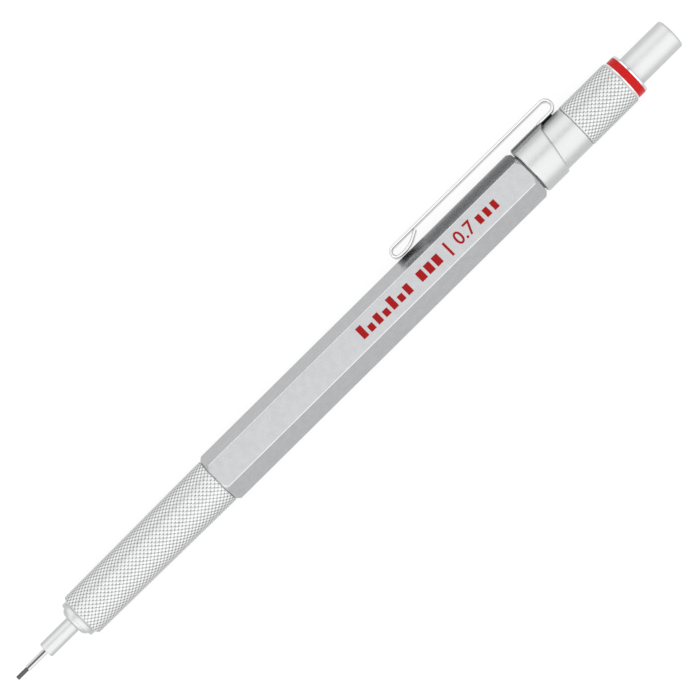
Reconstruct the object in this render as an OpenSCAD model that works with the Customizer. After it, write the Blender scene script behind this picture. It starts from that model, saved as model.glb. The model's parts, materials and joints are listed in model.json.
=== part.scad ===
// Mechanical pencil with a hexagonal barrel, a knurled grip and a lead-grade indicator.
// The pencil lies along X: the tip of the guide sleeve is the origin, the push button is at +X.
// The clip is on the +Y side, over a corner of the hexagon, and one flat faces up (+Z).
// All lengths are in millimetres.

/* [Lead] */
// Diameter of the lead
lead_d = 0.7; // [0.5:0.1:0.9]
// Length of a new lead
lead_length = 60; // [50:1:75]
// How far the lead stands out of the guide sleeve
lead_out = 2.2; // [0:0.1:3]
// Number of spare leads in the magazine
spare_count = 3; // [1:1:4]

/* [Nose] */
// Visible length of the guide sleeve
sleeve_length = 4; // [3:0.1:5]
// Outer diameter of the guide sleeve
sleeve_d = 1.04; // [1.02:0.01:1.2]
// Diameter of the slim shank behind the guide sleeve
shank_d = 2.72; // [2.4:0.01:3]
// Length of the slim shank
shank_length = 5.95; // [5:0.05:6]
// Diameter of the flange that meets the grip
flange_d = 6.54; // [6:0.02:7]

/* [Grip] */
// Diameter over the knurl at the front of the grip
grip_front_d = 7.7; // [7.4:0.02:8]
// Diameter over the knurl at the rear of the grip
grip_rear_d = 8.26; // [8:0.02:9]
// Length of the grip
grip_length = 30.1; // [28:0.1:32]

/* [Barrel] */
// Width of the hexagon across its flats
flats_w = 7.9; // [7.6:0.1:8.6]
// Length of the hexagonal barrel
barrel_length = 68; // [66:0.5:72]

/* [Clip] */
// Outer diameter of the band that carries the clip
band_d = 8.5; // [8.2:0.05:9]
// Slant of the band's rear edge, in degrees
band_slant = 9.3; // [0:0.1:15]
// Length of the clip's straight leg
clip_length = 32.2; // [26:0.2:34]
// Thickness of the clip's sheet
clip_t = 0.5; // [0.4:0.05:0.6]
// Width of the clip
clip_w = 2.5; // [2:0.1:3.5]

/* [Rear end] */
// Outer diameter of the smooth indicator sleeve
indicator_d = 7.82; // [7.7:0.02:8]
// Diameter over the knurl of the indicator knob
knob_d = 7.96; // [7.6:0.02:8.2]
// Length of the indicator knob
knob_length = 9.9; // [9:0.1:11]
// Diameter of the red ring and of the end collar
ring_d = 7.46; // [7.2:0.02:7.6]
// Outer diameter of the push button
button_d = 5.3; // [5.2:0.02:5.34]
// How far the push button stands out of the end collar
button_out = 8.9; // [7:0.1:10]

/* [Hidden] */

fn_round = 96;

// Clearances
running = 0.05;
seam = 0.1;

// Places along the pencil, from the tip to the push button
shank_x = sleeve_length;
shoulder_x = shank_x + shank_length;
shoulder_length = 0.8;
shoulder_r0 = 1.79;
shoulder_r1 = 2.64;
flange_x = shoulder_x + shoulder_length;
flange_t = 0.65;
neck_r = 3.1;
neck_t = 0.17;
grip_gap = 0.22;
grip_x = flange_x + flange_t + grip_gap;
grip_end_x = grip_x + grip_length;
barrel_x = grip_end_x + seam;
barrel_end_x = barrel_x + barrel_length;
groove_w = 0.3;
band_x = barrel_end_x + groove_w;
band_long = 6.5;
band_middle = 5.27;
indicator_length = 9.95;
indicator_end_x = band_x + indicator_length;
knob_x = indicator_end_x + seam;
knob_end_x = knob_x + knob_length;
knob_rim = 0.3;
red_x = knob_end_x + knob_rim;
red_w = 1.35;
collar_x = red_x + red_w;
collar_t = 0.45;
collar_end_x = collar_x + collar_t;
button_end_x = collar_end_x + button_out;

// Radii that several pieces share
lead_r = lead_d / 2;
lead_pass_r = lead_r + 0.02;
sleeve_r = sleeve_d / 2;
spigot_r = 2.7;
grip_bore_r = 2.9;
joint_r = 3.3;
barrel_bore_r = 3.1;
socket_length = 6.2;
spigot_length = 5.9;
tube_r = 2;
tube_bore_r = 1.6;
button_r = button_d / 2;
button_wall = 0.4;

// Nose: lead passage, seat of the retainer, room for the open jaws, chamber of the clutch ring
sleeve_bore = lead_r + 0.04;
sleeve_flare = 0.5;
sleeve_root_r = sleeve_r + 0.18;
sleeve_root_x = shank_x + 3;
funnel_r = lead_r + 0.15;
retainer_x = shank_x + 4;
retainer_end_x = retainer_x + 1.8;
retainer_r = 0.95;
mouth_x = flange_x + 0.15;
mouth_r = 1.6;
chamber_x = mouth_x + 3.7;
chamber_r = 1.9;
spigot_end_x = chamber_x + 5.4;

// Clutch: ring, jaws and stem
ring_x = chamber_x + 0.8;
ring_end_x = ring_x + 2;
jaw_x = chamber_x - 0.6;
jaw_taper_x = jaw_x + 1;
jaw_taper_end_x = ring_end_x;
jaw_end_x = jaw_x + 10;
jaw_head_r = 1.3;
jaw_neck_r = 1.02;
jaw_stem_r = 0.93;
jaw_gap = 0.06;
jaw_hinge_gap = 0.03;
jaw_bite_x = jaw_x + 3;
stem_r = 0.95;
stem_bore_r = 0.45;
stem_end_x = jaw_end_x + 12;

// Spring and its stop
stop_x = spigot_end_x + 0.4;
stop_end_x = stop_x + 1.2;
stop_bore_r = 1.3;
spring_wire_r = 0.17;
spring_r = 1.6;
spring_turns = 9;
connector_x = stop_end_x + 11.4;

// Connector and lead magazine
connector_end_x = connector_x + 8;
connector_r = 2.4;
tube_seat_x = connector_x + 4;
magazine_inset = 2.5;
magazine_end_x = collar_end_x - magazine_inset;
tube_end_r = 2.2;
tube_end_length = 6;

// Eraser under the push button
plug_length = 4;
holder_lip = 0.8;
holder_r = 2;
eraser_r = 1.75;
holder_out = 4;
holder_end_x = magazine_end_x + holder_out;
eraser_inset = 1.7;
eraser_end_x = button_end_x - eraser_inset;
skirt_length = 5.5;
button_skirt_x = collar_end_x - skirt_length;
button_rim_r = 0.45;

// Bush, drum and knob of the indicator
bush_length = 7;
bush_bore_r = tube_r + 0.07;
bush_out = 2.9;
bush_end_x = band_x + bush_out;
groove_r = 3.6;
drum_flange_x = bush_end_x + seam;
drum_flange_t = 0.8;
drum_flange_r = joint_r - running;
drum_shoulder_x = drum_flange_x + drum_flange_t + seam;
sleeve_bore_r = 3;
drum_r = sleeve_bore_r - running;
drum_bore_r = 2.3;
drum_in_knob = 3;
drum_end_x = knob_x + drum_in_knob;
friction_inset = 0.6;
friction_x = drum_shoulder_x + friction_inset;
friction_w = 0.8;
friction_groove_r = 2.65;
hub_r = 3.3;
hub_length = 1.8;
hub_x = knob_end_x - hub_length;
collar_bore_r = button_r + 0.07;

// Window over the drum, on the side away from the upper flat
window_inset = 0.15;
window_x = band_x + band_long + window_inset;
window_length = 2.45;
window_w = 4.2;

// Clip: the sheet's centre line is made of two bends, a straight leg and a sprung heel
clip_root_x = band_x + band_long;
tongue_out = 2.2;
bend_x = clip_root_x + tongue_out;
bend_outer_r = 1.39;
tongue_y = 4.08;
bend_y = tongue_y + bend_outer_r;
clip_split = 0.05;
band_lobe_y = 4.56;
band_lobe_r = 3;
curl_r = 1.15;
curl_x = bend_x - clip_length;
curl_y = 5.81;
heel_r = 5.6;
heel_x = curl_x + 0.7;
heel_y = flats_w / sqrt(3) + running + heel_r;
heel_start = 260;
heel_stop = 300;
heel_length = 1.2;
bend_steps = 20;
heel_steps = 8;

// A body turned about the pencil's axis, from points given as [x, radius]
module turned(outline) {
    rotate([0, 90, 0])
        rotate_extrude($fn = fn_round)
            polygon([for (p = outline) [p[1], p[0]]]);
}

// A plain tube along the pencil
module tube(x0, x1, outer, inner) {
    turned([[x0, inner], [x0, outer], [x1, outer], [x1, inner]]);
}

// A plain rod along the pencil
module rod(x0, x1, r) {
    translate([x0, 0, 0])
        rotate([0, 90, 0])
            cylinder(h = x1 - x0, r = r, $fn = fn_round);
}

// Points on an arc in the X-Y plane, from angle a0 to a1
function arc(cx, cy, r, a0, a1, steps) =
    [for (i = [0:steps]) let (a = a0 + (a1 - a0) * i / steps) [cx + r * cos(a), cy + r * sin(a)]];

// Straight interpolation
function mix(a, b, t) = a + (b - a) * t;

module lead() {
    color("dimgray") rod(-lead_out, lead_length - lead_out, lead_r);
}

// Its flared root is pushed into the nose from behind and can't come out of the front
module guide_sleeve() {
    color("silver") turned([
        [0, sleeve_bore], [0, sleeve_r], [shank_x, sleeve_r],
        [shank_x + sleeve_flare, sleeve_root_r], [sleeve_root_x, sleeve_root_r],
        [sleeve_root_x, sleeve_bore]]);
}

// Rounded shoulder between the shank and the flange: a quarter of an ellipse
function shoulder(steps) =
    [for (i = [0:steps]) let (a = 90 * i / steps)
        [shoulder_x + shoulder_length * (1 - cos(a)), shoulder_r0 + (shoulder_r1 - shoulder_r0) * sin(a)]];

module nose_cone() {
    edge = 0.12;
    color("gainsboro") turned(concat(
        [[shank_x, sleeve_r], [shank_x, shank_d / 2 - edge], [shank_x + edge, shank_d / 2],
         [shoulder_x, shank_d / 2]],
        shoulder(6),
        [[flange_x, flange_d / 2], [flange_x + flange_t, flange_d / 2],
         [flange_x + flange_t, neck_r], [flange_x + flange_t + neck_t, neck_r],
         [flange_x + flange_t + neck_t, spigot_r], [spigot_end_x, spigot_r],
         [spigot_end_x, chamber_r], [chamber_x, chamber_r],
         [chamber_x, mouth_r], [mouth_x, mouth_r],
         [mouth_x, funnel_r], [retainer_end_x, funnel_r],
         [retainer_end_x, retainer_r], [retainer_x, retainer_r],
         [retainer_x, sleeve_root_r], [shank_x + sleeve_flare, sleeve_root_r]]));
}

module lead_retainer() {
    color("darkslategray") tube(retainer_x, retainer_end_x, retainer_r, lead_pass_r);
}

module grip_sleeve() {
    r0 = grip_front_d / 2;
    r1 = grip_rear_d / 2;
    chamfer = 0.35;
    color("silver") turned([
        [grip_x, spigot_r + running], [grip_x, r0 - chamfer - 0.1], [grip_x + chamfer, r0],
        [grip_end_x, r1], [grip_end_x, joint_r],
        [grip_end_x - socket_length, joint_r], [grip_end_x - socket_length, grip_bore_r],
        [stop_x, grip_bore_r], [stop_x, spigot_r + running]]);
}

module spring_stop() {
    color("goldenrod") tube(stop_x, stop_end_x, grip_bore_r, stop_bore_r);
}

// The hexagon's corners are turned down at both ends by a cone
module hex_barrel() {
    corner_r = flats_w / sqrt(3);
    end_r = 4.04;
    cone = 0.7;
    color("lightgray") union() {
        difference() {
            intersection() {
                translate([barrel_x, 0, 0])
                    rotate([0, 90, 0])
                        rotate([0, 0, 90])
                            cylinder(h = barrel_length, r = corner_r, $fn = 6);
                turned([[barrel_x, 0], [barrel_x, end_r], [barrel_x + cone, corner_r + 0.05],
                        [barrel_end_x - cone, corner_r + 0.05], [barrel_end_x, end_r],
                        [barrel_end_x, 0]]);
            }
            rod(barrel_x - 1, barrel_end_x + 1, barrel_bore_r);
        }
        tube(grip_end_x - spigot_length, barrel_x + 1, joint_r, grip_bore_r);
    }
}

// Coil spring: a tube of six sides swept along a helix, one closed solid
function helix(t) =
    let (a = 360 * spring_turns * t)
    [mix(stop_end_x + spring_wire_r, connector_x - spring_wire_r, t), spring_r * cos(a), spring_r * sin(a)];

module return_spring() {
    sides = 6;
    rings = spring_turns * 16;
    points = [for (i = [0:rings]) let (t = i / rings, c = helix(t), a = 360 * spring_turns * t)
        for (j = [0:sides - 1]) let (b = 360 * j / sides)
            c + spring_wire_r * [sin(b), cos(b) * cos(a), cos(b) * sin(a)]];
    walls = [for (i = [0:rings - 1]) for (j = [0:sides - 1])
        let (k = (j + 1) % sides)
        each [[i * sides + j, i * sides + k, (i + 1) * sides + k],
              [i * sides + j, (i + 1) * sides + k, (i + 1) * sides + j]]];
    start_cap = [for (j = [sides - 1:-1:0]) j];
    end_cap = [for (j = [0:sides - 1]) rings * sides + j];
    color("silver") polyhedron(points, concat(walls, [start_cap, end_cap]));
}

module clutch_ring() {
    gap = 0.05;
    front_r = mix(jaw_head_r, jaw_neck_r, (ring_x - jaw_taper_x) / (jaw_taper_end_x - jaw_taper_x)) + gap;
    color("goldenrod") turned([
        [ring_x, front_r], [ring_x, chamber_r - running], [ring_end_x, chamber_r - running],
        [ring_end_x, jaw_neck_r + gap]]);
}

// One third of the clutch's front end, split from its neighbours by narrow slots
module clutch_jaw(number) {
    reach = 3;
    edge = 0.2;
    jaw_bore_r = stem_bore_r + 0.05;
    color("goldenrod") intersection() {
        turned([
            [jaw_x, lead_pass_r], [jaw_x, jaw_head_r - edge], [jaw_x + edge, jaw_head_r],
            [jaw_taper_x, jaw_head_r], [jaw_taper_end_x, jaw_neck_r],
            [jaw_taper_end_x + edge, jaw_stem_r], [jaw_end_x, jaw_stem_r],
            [jaw_end_x, jaw_bore_r], [jaw_bite_x, jaw_bore_r], [jaw_bite_x, lead_pass_r]]);
        rotate([120 * number, 0, 0])
            translate([jaw_x - 1, 0, 0])
                rotate([90, 0, 90])
                    linear_extrude(height = jaw_end_x - jaw_x + 2)
                        polygon([[0, jaw_gap], [reach * cos(30), jaw_gap + reach * sin(30)],
                                 [reach * cos(30), reach], [-reach * cos(30), reach],
                                 [-reach * cos(30), jaw_gap + reach * sin(30)]]);
    }
}

module clutch_shank() {
    color("goldenrod") tube(jaw_end_x + jaw_hinge_gap, stem_end_x, stem_r, stem_bore_r);
}

// The connector holds the clutch's stem in front and the lead tube behind, with a funnel between
module tube_connector() {
    color("silver") turned([
        [connector_x, stem_r], [connector_x, connector_r], [connector_end_x, connector_r],
        [connector_end_x, tube_r], [tube_seat_x, tube_r],
        [tube_seat_x, tube_bore_r], [stem_end_x, stem_bore_r], [stem_end_x, stem_r]]);
}

module lead_tube() {
    color("gainsboro") turned([
        [tube_seat_x, tube_bore_r], [tube_seat_x, tube_r],
        [magazine_end_x - tube_end_length - 0.2, tube_r],
        [magazine_end_x - tube_end_length, tube_end_r],
        [magazine_end_x, tube_end_r], [magazine_end_x, tube_bore_r]]);
}

// Spare leads lie side by side on the bottom of the magazine
module spare_leads() {
    spread = 44;
    stagger = 1.5;
    front_gap = 24;
    lift = 0.02;
    spare_length = 0.8 * lead_length;
    color("dimgray") for (i = [0:spare_count - 1])
        let (start_x = tube_seat_x + front_gap + stagger * i)
            rotate([(i - (spare_count - 1) / 2) * spread, 0, 0])
                translate([0, 0, lead_r + lift - tube_bore_r])
                    rod(start_x, start_x + spare_length, lead_r);
}

module eraser_holder() {
    plug_r = tube_bore_r - 0.03;
    color("silver") turned([
        [magazine_end_x - plug_length, 0], [magazine_end_x - plug_length, plug_r],
        [magazine_end_x, plug_r], [magazine_end_x, holder_r],
        [holder_end_x, holder_r], [holder_end_x, eraser_r],
        [magazine_end_x + holder_lip, eraser_r], [magazine_end_x + holder_lip, 0]]);
}

module eraser() {
    edge = 0.3;
    color("white") turned([
        [magazine_end_x + holder_lip, 0], [magazine_end_x + holder_lip, eraser_r],
        [eraser_end_x - edge, eraser_r], [eraser_end_x, eraser_r - edge], [eraser_end_x, 0]]);
}

// Cap with a rounded rim and a slightly domed end
module push_button() {
    dome = 0.15;
    crown = 0.04;
    crown_share = 0.45;
    cap_t = eraser_inset - 1;
    rim_x = button_end_x - dome - button_rim_r;
    rim = arc(0, 0, button_rim_r, 0, 90, 6);
    color("gainsboro") turned(concat(
        [[button_skirt_x, button_r - button_wall], [button_skirt_x, button_r]],
        [for (p = rim) [rim_x + p[1], button_r - button_rim_r + p[0]]],
        [[button_end_x - crown, button_r * crown_share], [button_end_x, 0],
         [button_end_x - cap_t, 0], [button_end_x - cap_t, button_r - button_wall]]));
}

module barrel_bush() {
    color("silver") turned([
        [barrel_end_x - bush_length, bush_bore_r], [barrel_end_x - bush_length, barrel_bore_r],
        [barrel_end_x, barrel_bore_r], [barrel_end_x, groove_r], [band_x, groove_r],
        [band_x, joint_r], [bush_end_x, joint_r], [bush_end_x, bush_bore_r]]);
}

// The band's rear edge slants towards the clip, whose tongue leaves it there.
// A lobe thickens the band under the tongue, and the tongue's narrower seat rests on the sleeve.
module clip_band() {
    outer_r = band_d / 2;
    inner_r = indicator_d / 2;
    edge = 0.12;
    root_lap = 0.8;
    seat_y = inner_r + 0.01;
    seat_w = 1.7;
    tongue_length = bend_x - clip_split - clip_root_x + root_lap;
    color("gainsboro") union() {
        difference() {
            union() {
                turned([[band_x, 0], [band_x, outer_r - edge], [band_x + edge, outer_r],
                        [clip_root_x + 1, outer_r], [clip_root_x + 1, 0]]);
                translate([0, band_lobe_y - band_lobe_r, 0])
                    rod(band_x + edge, clip_root_x + 1, band_lobe_r);
            }
            rod(band_x - 1, clip_root_x + 2, inner_r);
            translate([band_x + band_middle, 0, 0])
                rotate([0, 0, -band_slant])
                    translate([0, -10, -10])
                        cube([10, 20, 20]);
        }
        translate([clip_root_x - root_lap, tongue_y, -clip_w / 2])
            cube([tongue_length, clip_t, clip_w]);
        translate([clip_root_x - root_lap, seat_y, -seat_w / 2])
            cube([tongue_length, tongue_y - seat_y + clip_t / 2, seat_w]);
    }
}

// Sprung leg of the clip, seen along Z: U-bend, long leg, curl, and the heel that presses on the barrel
module clip_arm() {
    heel_tilt = heel_stop - 270;
    slope = [cos(heel_tilt), sin(heel_tilt)];
    across = [-slope[1], slope[0]];
    heel_tip = [heel_x, heel_y] - heel_r * across + heel_length * slope;
    outer = concat(
        arc(bend_x, bend_y, bend_outer_r, -90, 90, bend_steps),
        arc(curl_x, curl_y, curl_r, 90, 240, bend_steps),
        arc(heel_x, heel_y, heel_r, heel_start, heel_stop, heel_steps),
        [heel_tip]);
    inner = concat(
        [heel_tip + clip_t * across],
        arc(heel_x, heel_y, heel_r - clip_t, heel_stop, heel_start + 2, heel_steps),
        arc(curl_x, curl_y, curl_r - clip_t, 240, 90, bend_steps / 2),
        arc(bend_x, bend_y, bend_outer_r - clip_t, 90, -90, bend_steps));
    color("white") translate([0, 0, -clip_w / 2])
        linear_extrude(height = clip_w)
            polygon(concat(outer, inner));
}

// Smooth sleeve with the window over the drum, on the side away from the upper flat
module indicator_sleeve() {
    outer_r = indicator_d / 2;
    color("gainsboro") difference() {
        turned([
            [band_x, joint_r], [band_x, outer_r], [indicator_end_x, outer_r],
            [indicator_end_x, sleeve_bore_r], [drum_shoulder_x, sleeve_bore_r],
            [drum_shoulder_x, joint_r]]);
        translate([window_x, -window_w / 2, -outer_r - 1])
            cube([window_length, window_w, outer_r + 1]);
    }
}

module grade_drum() {
    color("whitesmoke") turned([
        [drum_flange_x, drum_bore_r], [drum_flange_x, drum_flange_r],
        [drum_flange_x + drum_flange_t, drum_flange_r], [drum_flange_x + drum_flange_t, drum_r],
        [friction_x, drum_r], [friction_x, friction_groove_r],
        [friction_x + friction_w, friction_groove_r], [friction_x + friction_w, drum_r],
        [drum_end_x, drum_r], [drum_end_x, drum_bore_r]]);
}

module friction_ring() {
    gap = 0.05;
    bore_gap = 0.02;
    color("black") tube(friction_x + gap, friction_x + friction_w - gap, sleeve_bore_r - bore_gap,
                        friction_groove_r);
}

module indicator_knob() {
    r = knob_d / 2;
    chamfer = 0.15;
    color("silver") turned([
        [knob_x, drum_r], [knob_x, r - chamfer], [knob_x + chamfer, r],
        [knob_end_x - chamfer, r], [knob_end_x, ring_d / 2], [red_x, ring_d / 2],
        [red_x, hub_r], [hub_x, hub_r], [hub_x, collar_bore_r],
        [drum_end_x, collar_bore_r], [drum_end_x, drum_r]]);
}

module red_ring() {
    color("red") tube(red_x, collar_x, ring_d / 2, hub_r);
}

module end_collar() {
    r = ring_d / 2;
    edge = 0.3;
    color("gainsboro") turned([
        [hub_x, collar_bore_r], [hub_x, hub_r], [collar_x, hub_r], [collar_x, r],
        [collar_end_x - edge, r], [collar_end_x - edge / 3, r - edge / 3],
        [collar_end_x, r - edge], [collar_end_x, collar_bore_r]]);
}

lead();
guide_sleeve();
nose_cone();
lead_retainer();
grip_sleeve();
hex_barrel();
spring_stop();
return_spring();
clutch_ring();
clutch_jaw(0);  // clutch_jaw_1
clutch_jaw(1);  // clutch_jaw_2
clutch_jaw(2);  // clutch_jaw_3
clutch_shank();
tube_connector();
lead_tube();
spare_leads();
eraser_holder();
eraser();
push_button();
barrel_bush();
clip_band();
clip_arm();
indicator_sleeve();
grade_drum();
friction_ring();
indicator_knob();
red_ring();
end_collar();
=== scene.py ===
import json
from math import asin, atan, atan2, ceil, cos, degrees, exp, pi, radians, sin, sqrt, tan

import bmesh
import bpy
from mathutils import Matrix, Vector


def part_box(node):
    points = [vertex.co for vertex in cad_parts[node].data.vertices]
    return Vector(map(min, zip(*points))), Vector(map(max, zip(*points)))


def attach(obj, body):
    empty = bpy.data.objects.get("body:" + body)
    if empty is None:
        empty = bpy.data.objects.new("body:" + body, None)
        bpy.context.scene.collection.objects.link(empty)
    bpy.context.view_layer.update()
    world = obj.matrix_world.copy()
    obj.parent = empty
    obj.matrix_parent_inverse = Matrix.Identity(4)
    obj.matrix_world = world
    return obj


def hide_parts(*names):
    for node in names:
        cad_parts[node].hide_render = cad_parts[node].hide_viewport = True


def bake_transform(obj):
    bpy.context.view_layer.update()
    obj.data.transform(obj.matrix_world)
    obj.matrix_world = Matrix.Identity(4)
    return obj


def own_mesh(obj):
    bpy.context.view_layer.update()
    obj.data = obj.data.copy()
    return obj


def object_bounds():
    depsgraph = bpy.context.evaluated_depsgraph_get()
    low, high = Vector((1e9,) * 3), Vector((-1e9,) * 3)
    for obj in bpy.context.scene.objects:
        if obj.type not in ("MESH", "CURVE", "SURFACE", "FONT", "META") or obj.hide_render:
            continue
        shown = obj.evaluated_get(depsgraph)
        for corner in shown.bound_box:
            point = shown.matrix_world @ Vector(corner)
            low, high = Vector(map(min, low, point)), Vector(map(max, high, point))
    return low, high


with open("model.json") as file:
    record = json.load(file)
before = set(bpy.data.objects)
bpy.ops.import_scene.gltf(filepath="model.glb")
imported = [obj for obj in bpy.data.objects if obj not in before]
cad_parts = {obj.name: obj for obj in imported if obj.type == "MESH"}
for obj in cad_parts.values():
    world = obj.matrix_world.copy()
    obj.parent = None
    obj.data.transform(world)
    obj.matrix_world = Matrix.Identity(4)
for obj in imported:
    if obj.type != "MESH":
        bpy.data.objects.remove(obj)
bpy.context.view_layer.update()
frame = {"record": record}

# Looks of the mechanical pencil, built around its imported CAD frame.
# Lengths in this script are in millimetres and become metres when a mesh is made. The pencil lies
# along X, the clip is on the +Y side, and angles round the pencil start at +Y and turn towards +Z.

MM = 0.001
TAU = 2 * pi

record = frame["record"]
body_of_node = {n: body for body, nodes in record["behaviour"]["bodies"].items() for n in nodes}
slot_of_node = {part["node"]: part["material_slot"] for part in record["subparts"]}
mounts = {mount["name"]: mount for mount in record["mounts"]}


# ---- places taken from the frame

def ends(node):
    """Where a CAD node starts and ends along the pencil."""
    low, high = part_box(node)
    return low.x / MM, high.x / MM


def reach(node):
    """How far a CAD node reaches from the pencil's axis."""
    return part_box(node)[1].z / MM


# ---- mesh helpers

def soften(outline, steps=4):
    """Points of an outline whose corners are (x, r) or (x, r, rounding), the rounded ones as curves."""
    soft = []
    for i, corner in enumerate(outline):
        here = Vector(corner[:2])
        rounding = corner[2] if len(corner) > 2 else 0
        if not rounding:
            soft.append(here)
            continue
        before = Vector(outline[i - 1][:2]) - here
        after = Vector(outline[(i + 1) % len(outline)][:2]) - here
        start = here + before.normalized() * min(rounding, before.length / 2)
        stop = here + after.normalized() * min(rounding, after.length / 2)
        for k in range(steps + 1):
            t = k / steps
            soft.append(start.lerp(here, t).lerp(here.lerp(stop, t), t))
    return soft


def around(count):
    """Evenly spaced angles round the pencil."""
    return [TAU * i / count for i in range(count)]


def polar(x, r, a):
    """The point at this place along the pencil, radius and angle."""
    return Vector((x, r * cos(a), r * sin(a)))


def ring(x, r, angles):
    """A ring of points round the pencil. x and r are numbers, or functions of the angle."""
    return [polar(x(a) if callable(x) else x, r(a) if callable(r) else r, a) for a in angles]


def turned_rings(outline, angles):
    """The rings of a turned outline. A point on the axis becomes a single pole."""
    return [ring(x, r, angles) if r > 1e-6 else [Vector((x, 0, 0))] for x, r in soften(outline)]


def diamonds(starts, first, last, n):
    """Faces of a lattice whose odd rows are shifted by half a step, aligned with both diagonals."""
    faces = []
    for j in range(first, last - 1):
        shift = (j - first) % 2
        for i in range(n):
            left = starts[j + 1] + (i - 1 + shift) % n
            right = starts[j + 1] + (i + shift) % n
            faces.append((starts[j] + i, right, starts[j + 2] + i, left))
    for i in range(n):
        k = (i + 1) % n
        faces.append((starts[first] + i, starts[first] + k, starts[first + 1] + i))
        faces.append((starts[last] + k, starts[last] + i, starts[last - 1] + i))
    return faces


def skin(rings, loop=True, lattice=None, helix=None):
    """Points and faces of a surface through rings. A ring of one point is a pole.

    loop joins the last ring to the first. lattice is (first, last) of the rows of a diamond lattice.
    helix is (first, last, rows a turn) of rings that climb by one turn on the way round.
    """
    points = [p for one in rings for p in one]
    starts = [0]
    for one in rings[:-1]:
        starts.append(starts[-1] + len(one))
    pairs = [(a, a + 1) for a in range(len(rings) - 1)] + ([(len(rings) - 1, 0)] if loop else [])
    faces = []
    for a, b in pairs:
        if lattice and lattice[0] <= a < b <= lattice[1]:
            continue
        size_a, size_b = len(rings[a]), len(rings[b])
        n = max(size_a, size_b)
        for i in range(n):
            k = (i + 1) % n
            next_a, next_b = a, b
            if helix and k == 0 and helix[0] <= a < b <= helix[1]:
                next_a = min(a + helix[2], helix[1])
                next_b = min(b + helix[2], helix[1])
            corners = [starts[a] + i % size_a, starts[next_a] + k % size_a,
                       starts[next_b] + k % size_b, starts[b] + i % size_b]
            face = tuple(dict.fromkeys(corners))
            if len(face) > 2:
                faces.append(face)
    if lattice:
        faces += diamonds(starts, lattice[0], lattice[1], len(rings[lattice[0]]))
    return points, faces


def capped(sections):
    """Points and faces of a loft through flat closed sections, with a face on each end."""
    points, faces = skin(sections, False)
    count, total = len(sections[0]), len(points)
    return points, faces + [tuple(range(count)), tuple(reversed(range(total - count, total)))]


def placed(name, data):
    """A new object in the scene, from a mesh, a curve or a camera's lens."""
    obj = bpy.data.objects.new(name, data)
    bpy.context.scene.collection.objects.link(obj)
    return obj


def evaluated_mesh(obj):
    """The mesh of an object with its modifiers applied, or of a curve."""
    return bpy.data.meshes.new_from_object(
        obj.evaluated_get(bpy.context.evaluated_depsgraph_get()))


def solid(name, points, faces, crease=38, shades=None):
    """An object from points in millimetres. shades are values per point for a named attribute."""
    mesh = bpy.data.meshes.new(name)
    mesh.from_pydata([p * MM for p in points], [], faces)
    for label, values in (shades or {}).items():
        mesh.attributes.new(label, "FLOAT", "POINT").data.foreach_set("value", values)
    work = bmesh.new()
    work.from_mesh(mesh)
    bmesh.ops.remove_doubles(work, verts=work.verts, dist=1e-7)
    bmesh.ops.dissolve_degenerate(work, edges=work.edges, dist=1e-7)
    bmesh.ops.recalc_face_normals(work, faces=work.faces)
    work.to_mesh(mesh)
    work.free()
    mesh.shade_smooth()
    mesh.set_sharp_from_angle(angle=radians(crease))
    obj = placed(name, mesh)
    even = obj.modifiers.new("even shading", "WEIGHTED_NORMAL")
    even.keep_sharp = True
    return obj


def join(solids):
    """Points and faces of several surfaces as one."""
    points, faces = [], []
    for some_points, some_faces in solids:
        base = len(points)
        points += some_points
        faces += [tuple(base + i for i in face) for face in some_faces]
    return points, faces


def slab(x0, x1, y0, y1, half):
    """Points and faces of a box that reaches this far to both sides of z = 0."""
    outline = [(x0, y0), (x1, y0), (x1, y1), (x0, y1)]
    return capped([[Vector((*corner, z)) for corner in outline] for z in (-half, half)])


def dress(obj, node, finish=None):
    """Gives a detailed piece the body, slot and finish of the CAD node that it stands for."""
    obj.data.materials.clear()
    obj.data.materials.append(finishes[finish or slot_of_node[node]])
    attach(obj, body_of_node[node])
    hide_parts(node)
    return obj


def turned(node, outline, segments=96, finish=None, grime=None):
    """A turned piece that stands for a CAD node. An outline that starts on the axis isn't looped."""
    loop = outline[0][1] > 0
    points, faces = skin(turned_rings(outline, around(segments)), loop)
    shades = {"grime": [grime(p) for p in points]} if grime else None
    return dress(solid(node + "_fine", points, faces, shades=shades), node, finish)


# ---- finishes

def links(material):
    """The nodes and a linking function of a material or world."""
    tree = material.node_tree

    def link(source, target):
        tree.links.new(source, target)
    return tree.nodes, link


def set_inputs(node, values):
    """Plain values for the inputs of a node, by label."""
    for label, value in values.items():
        node.inputs[label].default_value = value


def new_finish(name, color, metallic, roughness):
    """A material whose shader has these plain settings."""
    material = bpy.data.materials.new(name)
    material.use_nodes = True
    shader = material.node_tree.nodes["Principled BSDF"]
    set_inputs(shader, {"Base Color": (*color, 1), "Metallic": metallic, "Roughness": roughness})
    return material, shader


def noise(material, size, detail=3.0, stretch=(1, 1, 1)):
    """Noise whose grains are about size across, in the object's own coordinates."""
    nodes, link = links(material)
    place = nodes.new("ShaderNodeTexCoord")
    mapping = nodes.new("ShaderNodeMapping")
    set_inputs(mapping, {"Scale": [1 / (s * size * MM) for s in stretch]})
    link(place.outputs["Object"], mapping.inputs["Vector"])
    grain = nodes.new("ShaderNodeTexNoise")
    set_inputs(grain, {"Scale": 1, "Detail": detail})
    link(mapping.outputs["Vector"], grain.inputs["Vector"])
    return grain.outputs["Fac"]


def ramp(material, value, low, high, start=0.3, stop=0.7):
    """value from start to stop, mapped smoothly to low and high."""
    nodes, link = links(material)
    node = nodes.new("ShaderNodeMapRange")
    node.interpolation_type = "SMOOTHSTEP"
    link(value, node.inputs["Value"])
    set_inputs(node, {"From Min": start, "From Max": stop, "To Min": low, "To Max": high})
    return node.outputs["Result"]


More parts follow.
